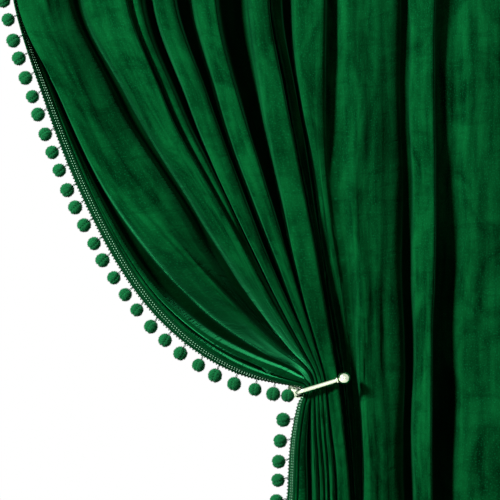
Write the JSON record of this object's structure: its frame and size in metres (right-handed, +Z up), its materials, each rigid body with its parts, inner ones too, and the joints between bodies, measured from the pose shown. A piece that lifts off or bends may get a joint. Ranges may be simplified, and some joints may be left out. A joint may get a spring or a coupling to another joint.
{
  "type": "velvet curtain panel with pom-pom trim and holdback hook",
  "caption": "Long velvet curtain hanging in uneven folds, its pom-pom edged side swept back over a metal holdback hook with a ball end.",
  "frame": {"origin": "middle of the top edge of the cloth, half way through the depth of its folds", "axes": "+Z up, the face of the cloth looks to -Y, the wall is at +Y, +X from the leading edge to the fixed side"},
  "size_m": [1.1987, 0.158, 2.1302],
  "materials": {
    "velvet": "deep green velvet, short pile, softly crushed",
    "pompom_trim": "woven braid with yarn pom-poms, green",
    "holdback_metal": "polished pale metal"
  },
  "bodies": {
    "root": {"velvet_panel": "velvet", "pompom_trim": "pompom_trim", "holdback_plate": "holdback_metal", "holdback_rod": "holdback_metal", "holdback_collar": "holdback_metal", "holdback_ball": "holdback_metal"}
  },
  "joints": []
}
